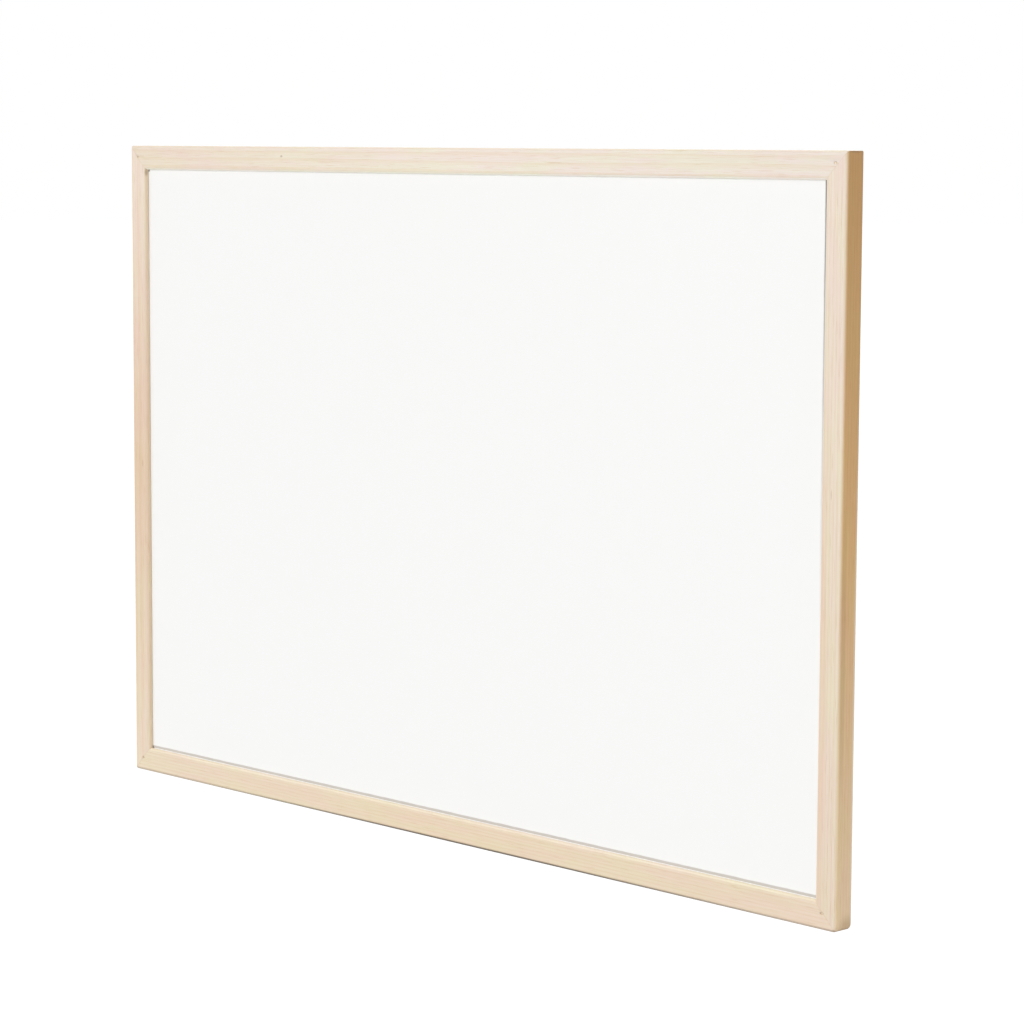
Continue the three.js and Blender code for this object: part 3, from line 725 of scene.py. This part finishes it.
# Bronzed steel: drawn wire with a thin warm oxide, pale and half matt
PIN_CLOUD_WIDTH = 0.6 * MM
STEEL_RELIEF = 0.01 * MM
pin_steel = clouded(
    "bronzed pin steel", ("#C0AC8E", "#DBCAB0"), (0.6, 0.42), PIN_CLOUD_WIDTH, STEEL_RELIEF, Metallic=1)
ring_depths = np.linspace(*PIN_RINGS, 49)
ring_radii = PIN_SHANK_RADIUS + PIN_RING_RELIEF * np.cos(2 * np.pi * ring_depths / PIN_RING_PITCH)
pin_profile = np.concatenate([PIN_HEAD, np.stack([ring_radii, ring_depths], axis=1), PIN_TIP])
for corner in CORNERS:
    low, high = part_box(f"corner_pin_{corner}")
    head = Vector(((low.x + high.x) / 2, low.y, (low.z + high.z) / 2))
    face = Vector((head.x, board_low.y, head.z))
    for wood in wood_at(corner):
        cut(wood, [turned("pin_hole", columns(PIN_HOLE), face)])
    made = turned(f"pin_{corner}", columns(pin_profile), head)
    finish_piece(made, pin_steel, "board", f"corner_pin_{corner}")

# Folded nails
# Strips of rolled steel folded to a V, ground to an edge in front and pressed in from the back, two across
# each mitre, until they lie just below the wood. Sizes are in millimetres.
NAIL_LEG = 4.5
NAIL_HALF_ANGLE = np.radians(55)
NAIL_BEND_RADIUS = 0.35
NAIL_HALF_THICKNESS = 0.3
NAIL_EDGE_LENGTH = 0.9
NAIL_BURR = 0.08
NAIL_CLEARANCE = 0.05
NAIL_PLACE_SHARES = {"outer": 0.42, "inner": 0.72}


def folded_strip(name, corner, share, stations):
    """A folded strip across a mitre: two legs joined by a hyperbola's bend. With t from -1 to 1, its middle
    line is L sin(a) t across and sqrt((L cos(a) t)^2 + r^2) - r inwards, and its outline lies half the
    thickness to either side. Each station gives a depth in the row and the half thickness there."""
    side, level = CORNERS[corner]
    t = np.linspace(-1, 1, 25)
    across = NAIL_LEG * np.sin(NAIL_HALF_ANGLE) * t
    inwards = np.hypot(NAIL_LEG * np.cos(NAIL_HALF_ANGLE) * t, NAIL_BEND_RADIUS) - NAIL_BEND_RADIUS
    line = np.stack([across, inwards], axis=1)
    slope = np.gradient(line, axis=0)
    normal = np.stack([-slope[:, 1], slope[:, 0]], axis=1) / np.linalg.norm(slope, axis=1)[:, None]
    rings = []
    for depth, half_thickness in stations:
        outline = np.concatenate([line + half_thickness * normal, (line - half_thickness * normal)[::-1]])
        across, inwards = outline.T
        x = side * (board_width / 2 - share * LAND_WIDTH + MM * (across - inwards) / np.sqrt(2))
        z = level * (board_height / 2 - share * LAND_WIDTH - MM * (across + inwards) / np.sqrt(2))
        rings.append(np.stack([x + board_middle.x, np.full(len(x), depth), z + board_middle.z], axis=1))
    return skin(name, np.array(rings))


# Cold-rolled steel: a cool mid grey strip, clouded by the rolls
ROLLED_CLOUD_WIDTH = 0.9 * MM
rolled_steel = clouded(
    "rolled steel", ("#77797B", "#A3A6A8"), (0.55, 0.34), ROLLED_CLOUD_WIDTH, STEEL_RELIEF, Metallic=1)
for corner in CORNERS:
    for row, share in NAIL_PLACE_SHARES.items():
        node_name = f"v_nail_{corner}_{row}"
        low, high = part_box(node_name)
        slot = [
            (low.y - NAIL_CLEARANCE * MM, NAIL_BURR + NAIL_CLEARANCE),
            (low.y + NAIL_EDGE_LENGTH * MM, NAIL_HALF_THICKNESS + NAIL_CLEARANCE),
            (high.y, NAIL_HALF_THICKNESS + NAIL_CLEARANCE),
            (board_high.y + MM, NAIL_HALF_THICKNESS + 4 * NAIL_CLEARANCE),
        ]
        for wood in wood_at(corner):
            cut(wood, [folded_strip("nail_slot", corner, share, slot)])
        strip = [
            (low.y, NAIL_BURR),
            (low.y + NAIL_EDGE_LENGTH * MM, NAIL_HALF_THICKNESS),
            (high.y - NAIL_BURR * MM, NAIL_HALF_THICKNESS),
            (high.y, NAIL_HALF_THICKNESS - NAIL_BURR),
        ]
        made = folded_strip(f"folded_nail_{corner}_{row}", corner, share, strip)
        finish_piece(made, rolled_steel, "board", node_name)

# Retaining points
# Flat steel points stamped from thin strip and shot into the rebate's wall over the hardboard. The free
# end has round corners and stands a little off the board, where it was bent up once to take the panel out.
# Sizes are in millimetres.
POINT_CORNER_RADIUS = 1.1
POINT_TIP_LENGTH = 3
POINT_TIP_GAP = 0.02
POINT_EDGE_RADIUS = 0.1
POINT_LIFT = 0.45
POINT_LIFT_LENGTH = 5
INTO_WOOD = {"top": 0, "left": 90, "bottom": 180, "right": 270}


def flat_bar(half_width, half_thickness, edge_radius):
    """A flat bar's section at each station, as across and thick: round each corner, the centre of its
    quarter circle plus the edge radius times (cos, sin)."""
    angle = (np.arange(4)[:, None] * np.pi / 2 + np.linspace(0, np.pi / 2, 5)).ravel()
    corner = angle.reshape(4, 5).mean(axis=1).repeat(5)
    radius = np.minimum(edge_radius, half_width)[:, None]
    across = np.sign(np.cos(corner)) * (half_width[:, None] - radius) + radius * np.cos(angle)
    thick = np.sign(np.sin(corner)) * (half_thickness - edge_radius) + edge_radius * np.sin(angle)
    return across, np.broadcast_to(thick, across.shape)


def along_line(name, line, half_width, half_thickness, edge_radius, place):
    """A flat bar carried along a line of (depth, along) points in millimetres, square to it at each one."""
    across, thick = flat_bar(half_width, half_thickness, edge_radius)
    slope = np.gradient(line, axis=0)
    normal = np.stack([slope[:, 1], -slope[:, 0]], axis=1) / np.linalg.norm(slope, axis=1)[:, None]
    depth = line[:, :1] + thick * normal[:, :1]
    along = line[:, 1:] + thick * normal[:, 1:]
    return skin(name, MM * np.stack([across, depth, along], axis=-1), place=place)


for node_name in [name for name in frame["nodes"] if name.startswith("retaining_point")]:
    edge = node_name.split("_")[2]
    low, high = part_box(node_name)
    size = (high - low) / MM
    length, half_width = max(size.x, size.z), min(size.x, size.z) / 2
    bend = np.linspace(0, np.pi / 2, 7)[:-1]
    s = np.concatenate([
        POINT_CORNER_RADIUS * (1 - np.cos(bend)),
        np.linspace(POINT_CORNER_RADIUS, length - POINT_TIP_LENGTH, 16),
        [length - POINT_TIP_GAP],
    ])
    short_of_round = np.clip(1 - s / POINT_CORNER_RADIUS, 0, 1)
    rounded = half_width - POINT_CORNER_RADIUS * (1 - np.sqrt(1 - short_of_round ** 2))
    tapered = half_width * (length - s) / POINT_TIP_LENGTH
    lift = POINT_LIFT * np.clip(1 - s / POINT_LIFT_LENGTH, 0, 1) ** 2
    line = np.stack([lift, s - length / 2], axis=1)
    place = Matrix.Translation((low + high) / 2) @ Matrix.Rotation(-np.radians(INTO_WOOD[edge]), 4, "Y")
    shape = (line, np.minimum(rounded, tapered), size.y / 2, POINT_EDGE_RADIUS, place)
    holder = f"{edge}_rail" if edge in ("top", "bottom") else f"{edge}_stile"
    cut(members[holder]["wood"], [along_line("point_slot", *shape)])
    made = along_line(node_name.replace("retaining_", ""), *shape)
    finish_piece(made, rolled_steel, "board", node_name)

# Hangers
# On each stile a strip of zinc-plated steel, folded round the straight bar of a wire D-ring, its two
# leaves pressed together and held by two screws. The ring hangs over the strap until it is turned up.
# Sizes are in millimetres.
STRAP_HALF_WIDTH = 4.5
STRAP_LENGTH = 32.5
STRAP_NECK_LENGTH = 5
LEAF_THICKNESS = 0.8
LEAF_SEAM = 0.03
FOLD_RADIUS = 1.6
FOLD_END = np.radians(118)
STRAP_EDGE_RADIUS = 0.14
STRAP_END_START = 0.03
RING_WIRE_RADIUS = 1
RING_HALF_WIDTH = 7
RING_CORNER_RADIUS = 2
RING_LEG_LENGTH = 3
RING_WIRE_SIDES = 24
RING_SEAT_GAP = 0.25


def strap_line():
    """The strip's middle line as (depth, up) from the ring's axis, and its half width at each point: up the
    leaf against the wood, round the axis, a cubic back to the other leaf, and down that. Near each end
    the width is that of a half round: r sin(b) at r (1 - cos(b)) from the end."""
    b = np.linspace(STRAP_END_START, np.pi / 2, 14)
    end_up = -STRAP_LENGTH + STRAP_HALF_WIDTH * (1 - np.cos(b))
    leaf_up = np.linspace(end_up[-1], 0, 18)[1:-1]
    turn = np.linspace(-np.pi / 2, FOLD_END, 33)
    fold = FOLD_RADIUS * np.stack([np.sin(turn), np.cos(turn)], axis=1)
    t = np.linspace(0, 1, 14)[1:, None]
    start, end = fold[-1], np.array((LEAF_THICKNESS - FOLD_RADIUS, -STRAP_NECK_LENGTH))
    start_pull = STRAP_NECK_LENGTH * np.array((np.cos(FOLD_END), -np.sin(FOLD_END)))
    end_pull = np.array((0, -STRAP_NECK_LENGTH))
    neck = (
        (2 * t ** 3 - 3 * t ** 2 + 1) * start + (t ** 3 - 2 * t ** 2 + t) * start_pull
        + (3 * t ** 2 - 2 * t ** 3) * end + (t ** 3 - t ** 2) * end_pull
    )
    down = np.concatenate([np.linspace(-STRAP_NECK_LENGTH, end_up[-1], 12)[1:-1], end_up[::-1]])
    up = np.concatenate([end_up, leaf_up])
    line = np.concatenate([
        np.stack([np.full(len(up), -FOLD_RADIUS), up], axis=1), fold, neck,
        np.stack([np.full(len(down), end[0]), down], axis=1),
    ])
    half_width = np.full(len(line), float(STRAP_HALF_WIDTH))
    half_width[:len(b)] = STRAP_HALF_WIDTH * np.sin(b)
    half_width[-len(b):] = STRAP_HALF_WIDTH * np.sin(b[::-1])
    return line, half_width


def ring_arc(x, z, radius, start, sweep, steps):
    """Points on a circle in the ring's plane as (x, z, angle): the centre plus radius times (cos, sin)."""
    angle = start + sweep * np.linspace(0, 1, steps)
    return np.stack([x + radius * np.cos(angle), z + radius * np.sin(angle), angle], axis=1)


def wire_ring(name, place):
    """A round wire carried along a D: a straight bar on the axis, two corners, two legs and a half round.
    Round the wire, a point lies its radius times cos outwards in the D's plane and sin across it."""
    bar_end = RING_HALF_WIDTH - RING_CORNER_RADIUS
    drop = RING_CORNER_RADIUS + RING_LEG_LENGTH
    line = np.concatenate([
        ring_arc(bar_end, -RING_CORNER_RADIUS, RING_CORNER_RADIUS, np.pi / 2, -np.pi / 2, 13),
        ring_arc(0, -drop, RING_HALF_WIDTH, 0, -np.pi, 49),
        ring_arc(-bar_end, -RING_CORNER_RADIUS, RING_CORNER_RADIUS, np.pi, -np.pi / 2, 13),
    ])
    x, z, angle = line.T[:, :, None]
    around = np.linspace(0, 2 * np.pi, RING_WIRE_SIDES, endpoint=False)
    out = RING_WIRE_RADIUS * np.cos(around)
    over = np.broadcast_to(RING_WIRE_RADIUS * np.sin(around), (len(line), RING_WIRE_SIDES))
    rings = np.stack([x + out * np.cos(angle), over, z + out * np.sin(angle)], axis=-1)
    return skin(name, MM * rings, closed=True, place=place)


ring_crossing = RING_CORNER_RADIUS + RING_LEG_LENGTH + np.sqrt(RING_HALF_WIDTH ** 2 - STRAP_HALF_WIDTH ** 2)
ring_lift = 1.5 * LEAF_THICKNESS - FOLD_RADIUS + RING_WIRE_RADIUS + RING_SEAT_GAP
ring_tilt = Matrix.Rotation(np.arcsin(ring_lift / ring_crossing), 4, "X")

# Bright zinc plate: a pale, slightly blue, shiny film with soft clouds
ZINC_CLOUD_WIDTH = 1.6 * MM
ZINC_RELIEF = 0.008 * MM
zinc = clouded(
    "bright zinc plate", ("#A9AEB2", "#D0D4D6"), (0.42, 0.24), ZINC_CLOUD_WIDTH, ZINC_RELIEF, Metallic=1)

straps = {}
for joint in frame["record"]["behaviour"]["joints"]:
    side = joint["child"].split("_")[1]
    hinge = Matrix.Translation(joint["pos_m"])
    half_thickness = (LEAF_THICKNESS - LEAF_SEAM) / 2
    straps[side] = along_line(f"strap_{side}", *strap_line(), half_thickness, STRAP_EDGE_RADIUS, hinge)
    finish_piece(straps[side], zinc, "board", f"hanger_strap_{side}")
    ring = wire_ring(f"ring_{side}", hinge @ ring_tilt)
    finish_piece(ring, zinc, joint["child"], f"hanger_ring_{side}")

# Hanger screws
# Two short screws of zinc-plated steel hold each strap. Each has a pan head with a cross recess and a rolled
# thread that tapers to the point. Sizes are in millimetres.
SCREW_LENGTH = 12
SCREW_TIP_LENGTH = 3
SCREW_CREST_RADIUS = 1.25
SCREW_CORE_RADIUS = 0.9
SCREW_NECK_LENGTH = 1.8
THREAD_PITCH = 1.3
THREAD_CREST_SHARE = 0.55
SCREW_SIDES = 36
SCREW_HEAD_RADIUS = 2.75
SCREW_HEAD_HEIGHT = 1.8
SCREW_HEAD_RIM = 0.35
SCREW_HEAD_FLAT = 1.3
SCREW_HEAD_BREAK = (0.1, 0.08)
SCREW_HEAD_DIMPLE = 0.1
THREAD_START = 0.05
THREAD_RUNOUT = 0.4
TIP_SHARE = 0.03
RECESS_HALF_LENGTHS = np.array((1.75, 1.55, 0.9))
RECESS_DEPTHS = np.array((-0.5, 0.15, 1.2))
RECESS_HALF_WIDTH = 0.42
RECESS_EDGE_RADIUS = 0.12
SCREW_HOLE_RADIUS = 1.55
SCREW_TURNS = {"left_upper": 14, "left_lower": 61, "right_upper": 38, "right_lower": 79}


def screw_profile():
    """Radii and depths from the head's top to the tip: a quarter of an ellipse, the head's rim, a plain
    neck, and a thread whose radius is the core's plus a ridge that climbs one pitch each turn."""
    t = np.linspace(0, np.pi / 2, 12)[:, None]
    dome = SCREW_HEAD_FLAT + (SCREW_HEAD_RADIUS - SCREW_HEAD_FLAT) * np.sin(t)
    dome_depth = (SCREW_HEAD_HEIGHT - SCREW_HEAD_RIM) * (1 - np.cos(t))
    low = np.array([
        (SCREW_HEAD_RADIUS, SCREW_HEAD_HEIGHT - SCREW_HEAD_BREAK[1]),
        (SCREW_HEAD_RADIUS - SCREW_HEAD_BREAK[0], SCREW_HEAD_HEIGHT),
        (SCREW_CREST_RADIUS, SCREW_HEAD_HEIGHT),
    ])
    depth = SCREW_HEAD_HEIGHT + np.linspace(THREAD_START, SCREW_LENGTH, 121)[:, None]
    around = np.linspace(0, 2 * np.pi, SCREW_SIDES, endpoint=False)
    turn = (depth / THREAD_PITCH + around / (2 * np.pi)) % 1
    ridge = np.clip(1 - np.abs(2 * turn - 1) / THREAD_CREST_SHARE, 0, 1)
    to_tip = np.clip((SCREW_HEAD_HEIGHT + SCREW_LENGTH - depth) / SCREW_TIP_LENGTH, TIP_SHARE, 1)
    neck = np.clip((SCREW_HEAD_HEIGHT + SCREW_NECK_LENGTH - depth) / THREAD_RUNOUT, 0, 1)
    rolled = to_tip * (SCREW_CORE_RADIUS + (SCREW_CREST_RADIUS - SCREW_CORE_RADIUS) * ridge)
    shank = rolled + (SCREW_CREST_RADIUS - rolled) * neck
    head_radii = np.concatenate([[[SCREW_HEAD_DIMPLE]], dome, low[:, :1]])
    head_depths = np.concatenate([[[0]], dome_depth, low[:, 1:]])
    radii = np.concatenate([np.broadcast_to(head_radii, (len(head_radii), SCREW_SIDES)), shank])
    return radii, np.concatenate([head_depths, depth])


def screw(name, head_top, turn):
    """A screw with its recess cut: two bars that get shorter as they go down, crossed."""
    radii, depths = screw_profile()
    made = turned(name, (radii, -depths), head_top, sides=SCREW_SIDES, turn=turn)
    arms = []
    for quarter_turn in (0, np.pi / 2):
        across, thick = flat_bar(RECESS_HALF_LENGTHS, RECESS_HALF_WIDTH, RECESS_EDGE_RADIUS)
        rings = np.stack([across, np.broadcast_to(-RECESS_DEPTHS[:, None], across.shape), thick], axis=-1)
        place = Matrix.Translation(head_top) @ Matrix.Rotation(turn + quarter_turn, 4, "Y")
        arms.append(skin("recess_arm", MM * rings, place=place))
    return cut(made, arms)


for side, strap in straps.items():
    holes = []
    for row in ("upper", "lower"):
        node_name = f"hanger_screw_{side}_{row}"
        low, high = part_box(node_name)
        head_top = Vector(((low.x + high.x) / 2, high.y, (low.z + high.z) / 2))
        bore = np.array([(SCREW_HOLE_RADIUS, 0), (SCREW_HOLE_RADIUS, -SCREW_LENGTH / 2)])
        holes.append(turned("strap_hole", columns(bore), head_top))
        pilot = np.array([(SCREW_CREST_RADIUS, 0), (SCREW_CREST_RADIUS, (low.y - high.y) / MM)])
        cut(members[f"{side}_stile"]["wood"], [turned("pilot_hole", columns(pilot), head_top)])
        made = screw(f"screw_{side}_{row}", head_top, np.radians(SCREW_TURNS[f"{side}_{row}"]))
        finish_piece(made, zinc, "board", node_name)
    cut(strap, holes)

# Wall pads
# Round bumpers of dark grey moulded rubber, glued to the frame's back, with a softened rim and three
# shallow rings moulded into the face. Sizes are in millimetres.
PAD_GROOVES = (1.6, 2.9, 4.2)
PAD_GROOVE_WIDTH = 0.35
PAD_GROOVE_DEPTH = 0.18
PAD_RIM_RADIUS = 1
PAD_BASE_EDGE = 0.12
PAD_MIDDLE_RADIUS = 0.05
BLOOM_WIDTH = 2.5 * MM
RUBBER_RELIEF = 0.02 * MM

# Moulded rubber: soft, dark and matt, with the pale bloom that comes to its skin
rubber = clouded(
    "moulded rubber", ("#404042", "#58585B"), (0.68, 0.88), BLOOM_WIDTH, RUBBER_RELIEF,
    contrast=(0.4, 0.7), noise_roughness=0.5, Specular_IOR_Level=0.4)

for corner in CORNERS:
    low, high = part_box(f"wall_pad_{corner}")
    radius, height = (high.x - low.x) / 2 / MM, (high.y - low.y) / MM
    t = np.linspace(0, np.pi / 2, 9)
    rim = np.stack([
        radius - PAD_RIM_RADIUS * (1 - np.cos(t)), PAD_RIM_RADIUS * np.sin(t) - PAD_RIM_RADIUS,
    ], axis=1)
    r = np.linspace(radius - PAD_RIM_RADIUS, PAD_MIDDLE_RADIUS, 90)[1:]
    from_groove = np.min([np.abs(r - middle) for middle in PAD_GROOVES], axis=0)
    sunk = PAD_GROOVE_DEPTH * np.clip(1 - (from_groove / PAD_GROOVE_WIDTH) ** 2, 0, 1)
    base = [(PAD_MIDDLE_RADIUS, -height), (radius, -height), (radius, PAD_BASE_EDGE - height)]
    profile = np.concatenate([base, rim, np.stack([r, -sunk], axis=1)])
    place = Vector(((low.x + high.x) / 2, high.y, (low.z + high.z) / 2))
    made = turned(f"pad_{corner}", columns(profile), place, sides=48)
    finish_piece(made, rubber, "board", f"wall_pad_{corner}")

# Light and ground
# Plain soft studio light: an even sky, a wide soft lamp in front, one behind, and a low one at the right.
# The pale floor keeps the board's shadow. It is drawn from above only, so that a look up from below
# isn't blocked.
FLOOR_DROP = 1.2
FLOOR_RADIUS = 60
FLOOR_SIDES = 64
SKY_LEVEL = 0.6
FLOOR_LIFT = 0.42

scene = bpy.context.scene
scene.view_settings.view_transform = "Standard"
world = bpy.data.worlds.new("studio")
scene.world = world
world.use_nodes = True


def seen_white(material):
    """One for rays that the camera, a gloss or a clear thing sends out, and nought for the rest."""
    rays = add_node(material, "LightPath")
    seen = rays["Is Camera Ray"]
    for name in ("Is Glossy Ray", "Is Transmission Ray"):
        seen = add_node(material, "Math", {0: seen, 1: rays[name]}, operation="MAXIMUM")["Value"]
    return seen


level = add_node(world, "MapRange", {"Value": seen_white(world), "To Min": SKY_LEVEL})
sky = world.node_tree.nodes["Background"]
sky.inputs["Color"].default_value = (1, 1, 1, 1)
world.node_tree.links.new(level["Result"], sky.inputs["Strength"])

around = np.linspace(0, 2 * np.pi, FLOOR_SIDES, endpoint=False)
ground = np.full(FLOOR_SIDES, board_middle.z - FLOOR_DROP)
edge = np.stack([FLOOR_RADIUS * np.cos(around), FLOOR_RADIUS * np.sin(around), ground], axis=1)
floor = bpy.data.objects.new("floor", bpy.data.meshes.new("floor"))
floor.data.from_pydata(edge.tolist(), [], [list(range(FLOOR_SIDES))])
scene.collection.objects.link(floor)

# Floor paint: pale, even and quite matt, with no gloss to mirror the board
paint, shader, node = new_material("pale floor paint", "#D2D2D2", Roughness=1, Specular_IOR_Level=0)
shader.inputs["Emission Color"].default_value = (1, 1, 1, 1)
lit = node("Math", {0: seen_white(paint), 1: FLOOR_LIFT}, operation="MULTIPLY")["Value"]
join(paint, shader, Emission_Strength=lit)
one_sided = node("MixShader", {
    0: node("NewGeometry")["Backfacing"], 1: shader.outputs["BSDF"],
    2: node("BsdfTransparent")["BSDF"],
})
output = paint.node_tree.nodes["Material Output"]
paint.node_tree.links.new(one_sided["Shader"], output.inputs["Surface"])
floor.data.materials.append(paint)

# For each lamp: the way to it in degrees, its distance in metres, its power, and the angle that it fills or
# its width
lamps = {
    "front": ("SUN", -14, 15, 4, 1.34, np.radians(46)),
    "behind": ("SUN", -155, 48, 4, 1.2, np.radians(40)),
    "low_right": ("AREA", 95, -5, 2.6, 6.4, 1.6),
}
for name, (kind, azimuth, elevation, distance, power, size) in lamps.items():
    light = bpy.data.lights.new(name, kind)
    light.energy = power
    setattr(light, "angle" if kind == "SUN" else "size", size)
    made = bpy.data.objects.new(name, light)
    scene.collection.objects.link(made)
    away = way_to(np.radians(azimuth), np.radians(elevation))
    made.location = board_middle + distance * away
    made.rotation_euler = away.to_track_quat("Z", "Y").to_euler()
